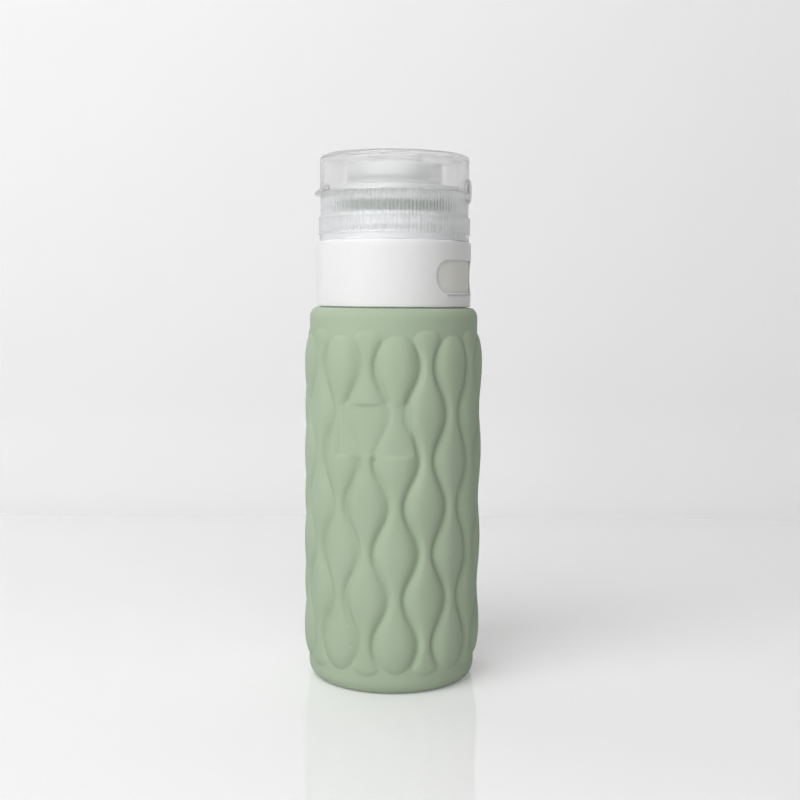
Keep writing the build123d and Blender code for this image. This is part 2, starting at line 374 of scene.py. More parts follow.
def face_outwards(piece):
    """Turns a closed mesh's faces so that they all look outwards."""
    work = bmesh.new()
    work.from_mesh(piece.data)
    bmesh.ops.recalc_face_normals(work, faces=work.faces)
    work.to_mesh(piece.data)
    work.free()


def ring_rows(radii, heights, angles):
    """Points of the rings whose radii and heights are given, one row for each."""
    radii = np.broadcast_to(radii, (len(radii), angles.shape[-1]))
    heights = np.broadcast_to(heights, radii.shape)
    angles = np.broadcast_to(angles, radii.shape)
    return np.stack([radii * np.cos(angles), radii * np.sin(angles), heights], axis=-1)


# Silicone bottle: the outside is a radius for each height and each place, counted in columns

relief_half_height = (relief_top - relief_foot) / 2
relief_middle_height = (relief_top + relief_foot) / 2
wave_middle_height = relief_middle_height - wave_drop
wave_period = (relief_top - relief_foot) / waves_along_columns
full_straight_length = full_column_waves * wave_period
full_end_length = relief_half_height - full_end_inset - full_straight_length
flared_end_start = relief_half_height - flared_end_length
shoulder_foot = body_height - shoulder_round_height


def end_share(past, power):
    """How much of a column's width is left at a share of the way along its rounded end."""
    return max(0, 1 - past**power) ** (1 / power)


def past_last_bulge(height):
    """How far along a full column's rounded end a height is: one at its very end."""
    distance = abs(height - relief_middle_height + full_column_drop)
    return (distance - full_straight_length) / full_end_length


def column_half_width(height, is_full):
    """Half a column's width at a height, as a share of the columns' spacing."""
    wave = cos(tau * (height - wave_middle_height) / wave_period)
    if is_full:
        past_bulge = past_last_bulge(height)
        if past_bulge <= 0:
            return mean_width_share - swing_width_share * wave
        widest = mean_width_share + swing_width_share
        return widest * end_share(past_bulge, full_end_power)
    half_width = mean_width_share + swing_width_share * wave
    past_flare = (abs(height - relief_middle_height) - flared_end_start) / flared_end_length
    if past_flare <= 0:
        return half_width
    return min(half_width, flared_width_share * end_share(past_flare, flared_end_power))


def crown_share(height, is_full):
    """How much of its rise a column keeps at a height: its ends slope away softly."""
    if is_full:
        return end_share(max(0, past_last_bulge(height)), full_end_power)
    left = (relief_half_height - abs(height - relief_middle_height)) / flared_fade_length
    return flared_end_rise_share + (1 - flared_end_rise_share) * min(1, max(0, left))


def ellipse_inset(width, height, distance):
    """How far an elliptical rounding draws in at a distance past where it starts."""
    return width * (1 - sqrt(max(0, 1 - (distance / height) ** 2)))


def plain_radius(height):
    """The silicone bottle's outer radius without its columns."""
    if height < base_round_height:
        past = base_round_height - height
        return body_radius - ellipse_inset(base_round_width, base_round_height, past)
    past = height - shoulder_foot
    if past > 0:
        return body_radius - ellipse_inset(shoulder_round_width, shoulder_round_height, past)
    return body_radius


def column_rise_at(places, height):
    """How far the puffed columns stand out at places counted in columns."""
    from_middle = abs(height - relief_middle_height)
    inside = smoothstep((relief_half_height - from_middle) / groove_fade_height)
    rise = np.zeros_like(places)
    widest = mean_width_share + swing_width_share
    for near in (np.floor(places), np.floor(places) + 1):
        for is_full in (True, False):
            half_width = column_half_width(height, is_full)
            if half_width <= 0:
                continue
            crown = (column_rise + groove_drop) * (half_width / widest) ** rise_power
            crown *= crown_share(height, is_full)
            across = np.clip(abs(places - near) / half_width, 0, 1)
            matches = (near % 2 == 0) == is_full
            rise = np.where(matches, np.maximum(rise, crown * (1 - across**crown_power)), rise)
    return rise - groove_drop * inside


def blurred(values, sigma, axis, wraps):
    """The grid of values, smoothed along one axis."""
    reach = max(1, int(np.ceil(3 * sigma)))
    weights = np.exp(-0.5 * (np.arange(-reach, reach + 1) / sigma) ** 2)
    weights /= weights.sum()
    mode = "wrap" if wraps else "edge"
    widths = [(0, 0), (0, 0)]
    widths[axis] = (reach, reach)
    padded = np.pad(values, widths, mode=mode)
    result = np.zeros_like(values)
    size = values.shape[axis]
    for index, weight in enumerate(weights):
        window = [slice(None), slice(None)]
        window[axis] = slice(index, index + size)
        result += weight * padded[tuple(window)]
    return result


grid_heights = np.arange(0, body_height + grid_step, grid_step)
grid_places = np.linspace(0, column_count, column_count * grid_places_per_column, endpoint=False)


def make_relief_grid():
    """The columns' rise on a regular grid of heights and places, with soft grooves."""
    grid = np.array([column_rise_at(grid_places, height) for height in grid_heights])
    grid = blurred(grid, relief_blur / grid_step, 0, False)
    place_step = tau * body_radius / len(grid_places)
    grid = blurred(grid, relief_blur / place_step, 1, True)
    angles = (first_column_angle + full_turn * grid_places / column_count + 180) % 360 - 180
    across = smoothstep((angles - panel_left_angle) / panel_edge_angle)
    across *= smoothstep((panel_right_angle - angles) / panel_edge_angle)
    along = smoothstep((grid_heights - panel_foot) / panel_edge)
    along *= smoothstep((panel_top - grid_heights) / panel_edge)
    mask = along[:, None] * across[None, :]
    wide = blurred(grid, panel_blur_height / grid_step, 0, False)
    wide = blurred(wide, panel_blur_width / place_step, 1, True)
    soft_along = smoothstep((grid_heights - panel_foot) / panel_blend + 0.5)
    soft_along *= smoothstep((panel_top - grid_heights) / panel_blend + 0.5)
    soft_across = smoothstep((angles - panel_left_angle) / panel_blend_angle + 0.5)
    soft_across *= smoothstep((panel_right_angle - angles) / panel_blend_angle + 0.5)
    soft = soft_along[:, None] * soft_across[None, :] * panel_flatten_share
    grid = grid * (1 - soft) + wide * soft
    return grid - panel_depth * mask


relief_grid = make_relief_grid()


def relief_at(places, height):
    """The columns' rise at places and one height, read from the grid."""
    row = np.clip(height / grid_step, 0, len(grid_heights) - 1.001)
    low = int(row)
    line = relief_grid[low] * (1 - row + low) + relief_grid[low + 1] * (row - low)
    steps = places % column_count * len(grid_places) / column_count
    left = steps.astype(int) % len(grid_places)
    share = steps - np.floor(steps)
    return line[left] * (1 - share) + line[(left + 1) % len(grid_places)] * share


def place_angles(places):
    return np.radians(first_column_angle) + tau * places / column_count


def column_places(height):
    """Places round the bottle, closer together at the grooves, which they follow."""
    from_middle = np.clip(height, relief_foot, relief_top) - wave_middle_height
    wave = swing_width_share * cos(tau * from_middle / wave_period)
    places = []
    for column in range(column_count):
        reach = groove_middle_share - wave if column % 2 == 0 else groove_middle_share + wave
        shares = np.arange(points_per_column) / points_per_column * 2 - 1
        bent = np.sin(shares * pi / 2)
        spread = straight_spacing_share * shares + (1 - straight_spacing_share) * bent
        places.append(column + reach * spread)
    return np.concatenate(places)


def make_silicone_skin(material):
    """The whole silicone bottle as one closed mesh: outside, neck, lip and inside."""
    rows = []

    def add(radius, height, guide=None):
        places = column_places(height if guide is None else guide)
        angles = place_angles(places)
        rise = relief_at(places, height) if guide is None else 0
        rows.append(ring_rows([radius + rise], [height], angles)[0])

    base_radius = body_radius - base_round_width
    recess_radius = base_radius - base_ring_width
    for share in recess_ring_shares:
        add(recess_radius * share, base_recess_depth, 0)
    underside = [
        (recess_radius, base_recess_depth),
        (recess_radius, 0),
    ]
    corners = [(0, base_recess_depth, 0), *underside, (base_radius, 0, 0)]
    for r, z in rounded(corners, closed=False)[1:-1]:
        add(r, z, 0)
    quarter = [pi / 2 * step / base_arc_steps for step in range(base_arc_steps + 1)]
    for angle in quarter[:-1]:
        height = base_round_height * (1 - cos(angle))
        add(plain_radius(height), height)
    wall_rows = int((shoulder_foot - base_round_height) / row_spacing)
    for height in np.linspace(base_round_height, shoulder_foot, wall_rows):
        add(plain_radius(height), height)
    for angle in quarter[1:]:
        height = shoulder_foot + shoulder_round_height * sin(angle)
        add(plain_radius(height), height)
    neck_radius = neck_bore_radius + neck_wall
    neck_foot = body_height - shoulder_thickness
    inner_radius = body_radius - body_wall
    inside = [
        (body_radius - shoulder_round_width, body_height, 0),
        (neck_radius, body_height),
        (neck_radius, lip_foot),
        (lip_radius, lip_foot, lip_rounding),
        (lip_radius, lip_top, lip_rounding),
        (neck_bore_radius, lip_top, lip_rounding),
        (neck_bore_radius, neck_foot, lip_rounding),
        (inner_radius, neck_foot, inner_rounding),
        (inner_radius, base_thickness, inner_rounding),
        (0, base_thickness, 0),
    ]
    for r, z in divided(rounded(inside, closed=False)[1:-1], longest_inside_step):
        add(r, z, body_height)
    rows = np.array(rows)
    vertices, faces = turned_mesh(
        rows, False, (0, 0, base_recess_depth), (0, 0, base_thickness)
    )
    piece = make_object(
        "silicone_skin", vertices, faces, "bottle", material
    )
    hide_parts("silicone_body")
    return piece


def make_parting_line(material, name, angle):
    """The thin raised line that the two halves of the mould leave on the silicone."""
    place = (angle - first_column_angle) / full_turn * column_count
    rows = []
    for height in np.linspace(parting_foot, parting_top, parting_rows):
        row = []
        for share, lift in parting_profile_shares:
            turn = share * parting_width / (tau * body_radius) * column_count
            radius = plain_radius(height) + relief_at(np.array([place + turn]), height)[0]
            radius += lift * parting_rise
            at = place_angles(place + turn)
            row.append((radius * cos(at), radius * sin(at), height))
        rows.append(row)
    rows = np.array(rows)
    vertices, faces = turned_mesh(rows, False, rows[0].mean(axis=0), rows[-1].mean(axis=0))
    piece = make_object(name, vertices, faces, "bottle", material)
    return piece


def make_collar(material):
    """The white collar with its round-ended window, whose edges are softly rounded."""
    steps = collar_steps
    half_height = window_height / 2
    centre_height = collar_foot + window_foot_margin + half_height
    straight = (window_length - window_height) / 2
    patch_half = half_height + patch_margin
    patch_reach = straight + half_height + patch_margin
    patch_heights = [
        centre_height + patch_half * (step / patch_half_steps - 1)
        for step in range(2 * patch_half_steps + 1)
    ]
    outer = rounded(
        [
            (sleeve_bore, collar_foot),
            (collar_radius, collar_foot, collar_foot_rounding),
            (collar_radius, collar_top, collar_edge_rounding),
            (roof_bore_radius, collar_top),
            (roof_bore_radius, collar_top - sleeve_roof),
            (sleeve_bore, collar_top - sleeve_roof),
        ]
    )

    def with_patch_rows(points):
        """The profile with a row at each patch height on its outer and inner walls."""
        result = []
        for start, end in zip(points, points[1:] + points[:1]):
            result.append(start)
            if abs(end[1] - start[1]) > 2 * patch_half:
                foot, top = sorted((start[1], end[1]))
                below = np.linspace(foot, patch_heights[0], patch_side_points)[1:-1]
                above = np.linspace(patch_heights[-1], top, patch_side_points)[1:-1]
                heights = [*below, *patch_heights, *above]
                if end[1] < start[1]:
                    heights = heights[::-1]
                result += [np.array([start[0], height]) for height in heights]
        return result

    def soft_crown(point):
        """The point, drawn in a little where it is on the outside near the top or foot."""
        radius, height = point
        near_edge = max(
            (height - collar_top) / collar_crown_height + 1,
            (collar_foot - height) / collar_crown_height + 1,
        )
        is_outer = radius > sleeve_bore + sleeve_wall / 2
        inset = collar_crown_depth * max(0, near_edge) ** 2 if is_outer else 0
        return np.array([radius - inset, height])

    points = [soft_crown(point) for point in with_patch_rows(outer)]
    angles = np.radians(window_angle) + tau * np.arange(steps) / steps
    radii, heights = np.array(points).T[..., None]
    rows = ring_rows(radii, heights, angles)
    vertices, faces = turned_mesh(rows, True)
    half_columns = int(np.ceil(patch_reach / collar_radius * steps / tau))
    columns = [column % steps for column in range(-half_columns, half_columns + 1)]
    inside = set(columns[:-1])
    walls = []
    for radius in (collar_radius, sleeve_bore):
        wall = []
        for index, (r, z) in enumerate(points):
            is_patch_row = min(abs(z - height) for height in patch_heights) < tiny
            if abs(r - radius) < tiny and is_patch_row:
                wall.append(index)
        walls.append(wall)
    outer_wall, inner_wall = walls
    inner_wall = inner_wall[::-1]
    holes = {frozenset(pair) for wall in walls for pair in zip(wall, wall[1:])}
    kept = []
    for face in faces:
        row_pair = frozenset(index // steps for index in face)
        column_set = {index % steps for index in face}
        is_inside = len(row_pair) == 2 and row_pair in holes and column_set <= set(columns)
        if not is_inside:
            kept.append(face)

    def border(wall):
        """Vertex numbers round the patch: along the foot, up, back along the top, down."""
        foot = [wall[0] * steps + column for column in columns]
        right = [row * steps + columns[-1] for row in wall[1:-1]]
        top = [wall[-1] * steps + column for column in columns[::-1]]
        left = [row * steps + columns[0] for row in wall[1:-1][::-1]]
        return foot + right + top + left

    def flat_place(index):
        """A vertex's distance along the collar and height, both from the window's middle."""
        x, y, z = vertices[index]
        turn = (np.arctan2(y, x) - radians(window_angle) + pi) % tau - pi
        return np.array([turn * collar_radius, z - centre_height])

    outer_border, inner_border = border(outer_wall), border(inner_wall)
    places = [flat_place(index) for index in outer_border]
    outline, ways = [], []
    for place in places:
        axis_point = np.array([np.clip(place[0], -straight, straight), 0])
        way = place - axis_point
        way /= np.linalg.norm(way)
        outline.append(axis_point + way * half_height)
        ways.append(way)
    edge = window_edge_rounding
    levels = []
    for share in patch_ring_shares:
        level = []
        for place, point, way in zip(places, outline, ways):
            level.append((place * (1 - share) + (point + way * edge) * share, collar_radius))
        levels.append(level)
    arc_turns = [pi / 2 * step / (arc_points - 1) for step in range(arc_points)]
    for turns, wall_radius, side in (
        (arc_turns, collar_radius, -1),
        (arc_turns[::-1], sleeve_bore, 1),
    ):
        for turn in turns:
            away, depth = edge * (1 - sin(turn)), edge * (1 - cos(turn))
            radius = wall_radius + side * depth
            levels.append([(point + way * away, radius) for point, way in zip(outline, ways)])
    inner_level = []
    for place, point, way in zip(places, outline, ways):
        inner_level.append(((place + point + way * edge) / 2, sleeve_bore))
    levels.append(inner_level)
    loops = [outer_border]
    for level in levels:
        loop = []
        for place, radius in level:
            turn = radians(window_angle) + place[0] / collar_radius
            vertices.append((radius * cos(turn), radius * sin(turn), centre_height + place[1]))
            loop.append(len(vertices) - 1)
        loops.append(loop)
    loops.append(inner_border)
    for loop, following in zip(loops, loops[1:]):
        for step in range(len(loop)):
            beside = (step + 1) % len(loop)
            kept.append((loop[step], loop[beside], following[beside], following[step]))
    piece = make_object("collar", vertices, kept, "sleeve", material)
    remove_loose(piece)
    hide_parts("window_sleeve")
    return piece


def remove_loose(piece):
    """Deletes the vertices that no face uses."""
    work = bmesh.new()
    work.from_mesh(piece.data)
    loose = [vertex for vertex in work.verts if not vertex.link_faces]
    bmesh.ops.delete(work, geom=loose, context="VERTS")
    work.to_mesh(piece.data)
    work.free()


def thread_rise(angles, heights, start_angle, foot):
    """How far the inner screw ridge stands out, for each angle and height."""
    rise = np.zeros(np.broadcast(angles, heights).shape)
    for lap in range(int(np.ceil(thread_turns)) + 1):
        turns = (angles - radians(start_angle)) % tau / tau + lap
        middle = foot + thread_pitch * turns
        fade = np.clip(np.minimum(turns, thread_turns - turns) / thread_run_out_turns, 0, 1)
        away = abs(heights - middle)
        slope = (thread_root_half_width - away) / (
            thread_root_half_width - thread_crest_half_width
        )
        rise = np.maximum(rise, fade * smoothstep(slope))
    return rise * thread_depth


def make_cap_shell(material):
    """The ribbed screw cap as one closed mesh, with its inner thread and valve turret."""
    steps = grip_rib_count * steps_per_rib
    angles = tau * np.arange(steps) / steps
    foot_band_top = skirt_foot + foot_band_height
    lower_grip_top = foot_band_top + lower_grip_height
    deck_foot = deck_top - deck_thickness
    valve_seat = valve_high[2] - valve_rise
    chamber_top = valve_seat - valve_ledge_thickness
    chamber_radius = turret_radius - turret_wall
    seat_inner = lid_seat_radius - lid_seat_wall
    outer = [
        (skirt_bore, skirt_foot),
        (foot_band_radius, skirt_foot),
        (foot_band_radius, foot_band_top, small_rounding / 2),
        (lower_grip_radius, foot_band_top, small_rounding / 2),
        (lower_grip_radius, lower_grip_top),
        (upper_grip_radius, lower_grip_top),
        (upper_grip_radius, deck_top),
        (lid_seat_radius, deck_top),
        (lid_seat_radius, deck_top + lid_seat_height),
        (seat_inner, deck_top + lid_seat_height),
        (seat_inner, deck_top),
        (turret_radius, deck_top),
        (turret_radius, turret_top, turret_rounding),
        (well_radius, turret_top),
        (well_radius, valve_seat),
        (valve_opening_radius, valve_seat),
        (valve_opening_radius, chamber_top),
        (chamber_radius, chamber_top),
        (chamber_radius, deck_foot),
        (skirt_bore, deck_foot),
    ]
    points = rounded(outer)
    fine = []
    for start, end in zip(points, points[1:] + points[:1]):
        fine.append(start)
        is_skirt = min(start[0], end[0]) > lid_seat_radius and abs(start[0] - end[0]) < same_length
        length = np.linalg.norm(end - start)
        is_low_wall = start[0] < foot_band_radius - band_margin
        longest = skirt_row_spacing if is_low_wall else band_row_spacing
        if is_skirt and length > longest:
            fine += divided([start, end], longest)[1:-1]
    radii, heights = np.array(fine).T[..., None]
    grip = np.zeros_like(heights)
    for foot, top in ((foot_band_top, lower_grip_top), (lower_grip_top, deck_top)):
        inside = smoothstep((heights - foot) / rib_fade_height)
        inside = inside * smoothstep((top - heights) / rib_fade_height)
        grip = np.maximum(grip, inside)
    grip = np.where(radii > upper_grip_radius - small_rounding, grip, 0)
    valley = (0.5 - 0.5 * np.cos(grip_rib_count * angles))[None, :]
    valley = valley**rib_valley_power
    radii = radii - grip_rib_depth * grip * valley
    turn = (angles - radians(lug_angle) + pi) % tau - pi
    lug = smoothstep((radians(lug_arc / 2) - abs(turn)) / radians(lug_ramp_angle))
    low = smoothstep((skirt_foot + lug_height - heights) / small_rounding + 0.5)
    is_outside = radii > (skirt_bore + foot_band_radius) / 2
    is_band = is_outside & (heights < skirt_foot + 2 * lug_height)
    reach = np.where(is_band, low * lug[None, :], 0)
    radii = radii + np.maximum(lug_radius - radii, 0) * reach
    is_foot = heights < skirt_foot + small_rounding
    drop = np.where(is_foot, lug_drop * lug[None, :], 0)
    thread_foot = lip_foot - thread_root_half_width - thread_turns * thread_pitch
    is_bore = (abs(radii - skirt_bore) < same_length) & (heights < deck_foot - band_margin)
    ridge = thread_rise(angles[None, :], heights, thread_start_angle, thread_foot)
    radii = radii - np.where(is_bore, ridge, 0)
    rows = ring_rows(radii, heights - drop, angles)
    vertices, faces = turned_mesh(rows, True)
    piece = make_object("cap_shell", vertices, faces, "cap", material)
    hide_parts("cap_base")
    return piece


def span_mask(angles, middle_angle, arc, ramp):
    """One within an arc about the axis, falling smoothly to zero at its two ends."""
    turn = np.degrees((angles - radians(middle_angle) + pi) % tau - pi)
    return smoothstep((arc / 2 - abs(turn)) / ramp)


def make_lid_shell(material):
    """The clear lid as one closed mesh, with its plug ring, front notch and thumb tab."""
    angles = tau * np.arange(lid_steps) / lid_steps
    ceiling = lid_top - lid_roof
    bore = lid_radius - lid_wall
    tab_top = lid_foot + tab_height
    tip = lid_radius + tab_reach
    roof = [(0, lid_top, 0), (lid_radius, lid_top, lid_rounding), (lid_radius, tab_top, 0)]
    inner = [
        (lid_radius, lid_foot, 0),
        (bore, lid_foot),
        (bore, ceiling, lid_inner_rounding),
        (plug_radius, ceiling, 2 * small_rounding),
        (plug_radius, plug_foot),
        (plug_radius - plug_wall, plug_foot),
        (plug_radius - plug_wall, ceiling, 2 * small_rounding),
        (0, ceiling, 0),
    ]
    tab = [
        (lid_radius, tab_top, 0),
        (tip, lid_foot - tab_droop + tab_thickness, tab_thickness / 3),
        (tip, lid_foot - tab_droop, tab_thickness / 3),
        (lid_radius + tab_root, lid_foot),
        (lid_radius, lid_foot, 0),
    ]
    tab_points = np.array(divided(rounded(tab, closed=False), tab_row_spacing))
    shares = np.linspace(0, 1, len(tab_points))
    wall_points = np.stack(
        [np.full(len(shares), lid_radius), tab_top + (lid_foot - tab_top) * shares], axis=-1
    )
    turn = np.degrees(angles % tau - pi)
    past = np.clip((abs(turn) - (tab_arc / 2 - tab_end_angle)) / tab_end_angle, 0, 1)
    reach = np.sqrt(1 - past**2)
    above = divided(rounded(roof, closed=False)[1:], lid_row_spacing)
    below = divided(rounded(inner, closed=False)[1:-1], lid_row_spacing)
    rows = [ring_rows([r], [z], angles)[0] for r, z in above[:-1]]
    foot_rows = []
    for wall_point, tab_point in zip(wall_points, tab_points):
        radius = wall_point[0] + (tab_point[0] - wall_point[0]) * reach
        height = wall_point[1] + (tab_point[1] - wall_point[1]) * reach
        foot_rows.append(ring_rows(radius[None, :], height[None, :], angles)[0])
    rows += foot_rows
    rows += [ring_rows([r], [z], angles)[0] for r, z in below]
    rows = np.array(rows)
    notch = span_mask(angles, notch_angle, notch_arc, notch_ramp_angle)
    is_wall = np.hypot(rows[..., 0], rows[..., 1]) > bore - small_rounding
    near_foot = np.clip(1 - (rows[..., 2] - lid_foot) / tab_height, 0, 1) * is_wall
    rows[..., 2] += notch_height * notch[None, :] * near_foot
    vertices, faces = turned_mesh(rows, False, (0, 0, lid_top), (0, 0, ceiling))
    piece = make_object("lid_shell", vertices, faces, "lid", material)
    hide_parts("flip_lid")
    return piece


def make_strap(material):
    """The thin bowed strap of the living hinge, built in one fixed shape."""
    foot, top = strap_low[2], strap_high[2]
    middle = (foot + top) / 2
    foot_wall = upper_grip_radius + strap_gap
    top_wall = lid_radius + strap_gap
    half_height = (top - foot) / 2
    rows = []
    up = [step / strap_bow_steps for step in range(strap_bow_steps + 1)]
    outside = (up, strap_reach_radius, half_height)
    inside = (up[::-1], strap_reach_radius - strap_thickness, half_height - strap_pad)
    for shares, reach, half_length in (outside, inside):
        for share in shares:
            wall = foot_wall + (top_wall - foot_wall) * share
            r = wall + (reach - wall) * sin(pi * share) ** strap_bow_power
            rows.append((r, middle - half_length * cos(pi * share)))
    sections = []
    for step in range(strap_width_steps + 1):
        share = step / strap_width_steps * 2 - 1
        angle = radians(strap_arc / 2 * share)
        corner = smoothstep((abs(share) - 1) / strap_corner_share + 1)
        narrow = 1 - strap_narrowing_share * corner
        section = []
        for r, z in rows:
            section.append((r * cos(angle), r * sin(angle), middle + (z - middle) * narrow))
        sections.append(section)
    sections = np.array(sections)
    vertices, faces = turned_mesh(
        sections, False, sections[0].mean(axis=0), sections[-1].mean(axis=0)
    )
    piece = make_object("strap", vertices, faces, None, material)
    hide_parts("hinge_strap")
    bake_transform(piece)
    return piece


# Materials

mottle_low_share = 0.3
mottle_high_share = 0.7
roughness_wander = 0.02
clear_tint_wander = 0.01


def new_material(name):
    material = bpy.data.materials.new(name)
    material.use_nodes = True
    return material, material.node_tree.nodes, material.node_tree.links


def add_noise(nodes, links, scale, detail, roughness=0.5):
    coordinates = nodes.new("ShaderNodeTexCoord")
    noise = nodes.new("ShaderNodeTexNoise")
    noise.inputs["Scale"].default_value = scale
    noise.inputs["Detail"].default_value = detail
    noise.inputs["Roughness"].default_value = roughness
    links.new(coordinates.outputs["Object"], noise.inputs["Vector"])
    return noise


def feed(links, socket, term):
    """Links another node's output to a socket, or sets the socket to a constant."""
    if isinstance(term, bpy.types.NodeSocket):
        links.new(term, socket)
    else:
        socket.default_value = term


def add_math(nodes, links, operation, *terms):
    node = nodes.new("ShaderNodeMath")
    node.operation = operation
    for socket, term in zip(node.inputs, terms):
        feed(links, socket, term)
    return node


def add_mix(nodes, links, factor, first, second, blend="MIX"):
    mix = nodes.new("ShaderNodeMix")
    mix.data_type = "RGBA"
    mix.blend_type = blend
    for place, term in ((0, factor), (6, first), (7, second)):
        feed(links, mix.inputs[place], term)
    return mix.outputs[2]


def add_ramp(nodes, links, source, stops):
    ramp = nodes.new("ShaderNodeValToRGB")
    elements = ramp.color_ramp.elements
    while len(elements) < len(stops):
        elements.new(0.5)
    for element, (position, colour) in zip(elements, stops):
        element.position = position
        element.color = (*colour, 1)
    links.new(source, ramp.inputs["Fac"])
    return ramp


def add_mottle(nodes, links, noise, low, high):
    """A colour that wanders between two others with the noise."""
    stops = [(mottle_low_share, low), (mottle_high_share, high)]
    return add_ramp(nodes, links, noise.outputs["Fac"], stops).outputs["Color"]


def add_wear(nodes, links, noise, shader, roughness):
    """Gives a shader a roughness that wanders a little with the noise."""
    smooth, rough = (roughness - roughness_wander,) * 3, (roughness + roughness_wander,) * 3
    links.new(add_mottle(nodes, links, noise, smooth, rough), shader.inputs["Roughness"])


def add_bump(nodes, links, shader, height, strength, distance):
    bump = nodes.new("ShaderNodeBump")
    bump.inputs["Strength"].default_value = strength
    bump.inputs["Distance"].default_value = distance
    links.new(height, bump.inputs["Height"])
    links.new(bump.outputs["Normal"], shader.inputs["Normal"])


def silicone_material():
    """Matte sage silicone with a soft skin, faint mottling, a few specks of dust, painted shade in
    its creases and painted shade on the lip inside the cap.
    """
    material, nodes, links = new_material("sage_silicone")
    shader = nodes["Principled BSDF"]
    shader.inputs["Roughness"].default_value = 0.55
    shader.inputs["Specular IOR Level"].default_value = 0.05
    shader.inputs["Subsurface Weight"].default_value = 0.05
    shader.inputs["Subsurface Radius"].default_value = (1.0, 1.2, 0.9)
    shader.inputs["Subsurface Scale"].default_value = 0.001
    shader.inputs["Sheen Weight"].default_value = 0.02
    shader.inputs["Sheen Roughness"].default_value = 0.5
    mottle = add_noise(nodes, links, 60, 4)
    base = add_mottle(nodes, links, mottle, (0.39, 0.478, 0.35), (0.418, 0.507, 0.377))
    specks = add_noise(nodes, links, 900, 1)
    speck_mask = add_ramp(
        nodes, links, specks.outputs["Fac"], [(0.775, (0, 0, 0)), (0.785, (1, 1, 1))]
    )
    dusty = add_mix(nodes, links, speck_mask.outputs["Color"], base, (0.47, 0.55, 0.43, 1))
    place = nodes.new("ShaderNodeTexCoord")
    axes = nodes.new("ShaderNodeSeparateXYZ")
    links.new(place.outputs["Object"], axes.inputs["Vector"])
    # Painted shade: the colour is darkened where the surface folds inwards, in creases such as the
    # grooves between the columns
    geometry = nodes.new("ShaderNodeNewGeometry")
    groove = add_ramp(
        nodes,
        links,
        geometry.outputs["Pointiness"],
        [(0.42, (groove_shade,) * 3), (0.495, (1, 1, 1))],
    )
    shaded = add_mix(nodes, links, 1, dusty, groove.outputs["Color"], "MULTIPLY")
    # Painted shade: above the lip's foot the colour is drawn towards a deep green, standing in for
    # the shade inside the cap
    lip_shade_band = nodes.new("ShaderNodeMapRange")
    lip_shade_band.inputs["From Min"].default_value = (lip_foot - 0.2) * MM
    lip_shade_band.inputs["From Max"].default_value = lip_foot * MM
    lip_shade_band.inputs["To Max"].default_value = lip_painted_shade
    links.new(axes.outputs["Z"], lip_shade_band.inputs["Value"])
    skin = add_mix(nodes, links, lip_shade_band.outputs["Result"], shaded, (0.06, 0.1, 0.07, 1))
    links.new(skin, shader.inputs["Base Color"])
    grain = add_noise(nodes, links, 4000, 3)
    add_bump(nodes, links, shader, grain.outputs["Fac"], 0.12, 0.00005)
    return material


def white_material(name, low, high, roughness):
    """Moulded white plastic with a slightly uneven satin skin."""
    material, nodes, links = new_material(name)
    shader = nodes["Principled BSDF"]
    shader.inputs["Specular IOR Level"].default_value = 0.5
    shader.inputs["Subsurface Weight"].default_value = 0.2
    shader.inputs["Subsurface Radius"].default_value = (1.0, 1.0, 1.0)
    shader.inputs["Subsurface Scale"].default_value = 0.0008
    mottle = add_noise(nodes, links, 90, 3)
    links.new(add_mottle(nodes, links, mottle, low, high), shader.inputs["Base Color"])
    add_wear(nodes, links, add_noise(nodes, links, 350, 4), shader, roughness)
    grain = add_noise(nodes, links, 2500, 2)
    add_bump(nodes, links, shader, grain.outputs["Fac"], 0.05, 0.00003)
    return material


def clear_material(name, colour, transmission, roughness, ior, alpha=1.0, coat=0.0, painted_glow=0.0):
    """Hazy clear plastic, which lets the light through to what is inside it, with a faint painted
    glow of its own.
    """
    material, nodes, links = new_material(name)
    shader = nodes["Principled BSDF"]
    shader.inputs["Transmission Weight"].default_value = transmission
    shader.inputs["IOR"].default_value = ior
    shader.inputs["Coat Weight"].default_value = coat
    shader.inputs["Coat Roughness"].default_value = 0.1
    # Painted light: a faint constant emission makes the milky plastic glow a little, though it is no
    # lamp
    shader.inputs["Emission Color"].default_value = (1.0, 0.99, 0.965, 1)
    shader.inputs["Emission Strength"].default_value = painted_glow
    path = nodes.new("ShaderNodeLightPath")
    is_shadow = path.outputs["Is Shadow Ray"]
    shade = add_math(nodes, links, "MULTIPLY_ADD", is_shadow, -clear_shadow_share, alpha)
    shade.use_clamp = True
    links.new(shade.outputs["Value"], shader.inputs["Alpha"])
    haze = add_noise(nodes, links, 120, 3)
    darker = tuple(value - clear_tint_wander for value in colour)
    links.new(add_mottle(nodes, links, haze, darker, colour), shader.inputs["Base Color"])
    add_wear(nodes, links, haze, shader, roughness)
    grain = add_noise(nodes, links, 2500, 2)
    add_bump(nodes, links, shader, grain.outputs["Fac"], 0.01, 0.00001)
    return material


def paint_node(node, material, slot):
    """Gives a CAD node a procedural material in place of its plain one."""
    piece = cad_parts[node]
    piece.data.materials.clear()
    piece.data.materials.append(material)
    for polygon in piece.data.polygons:
        polygon.material_index = 0


# Stage, lights and camera

floor_colour = (0.84, 0.84, 0.85)
wall_colour = (0.82, 0.82, 0.83)
floor_lift = 0.13
wall_lift = 0.13
world_lift = 0.65
world_strength = 0.14
stage_half_width = 1.6
stage_front = -1.2
stage_back = 0.26
stage_height = 1.6
stage_bend = 0.05


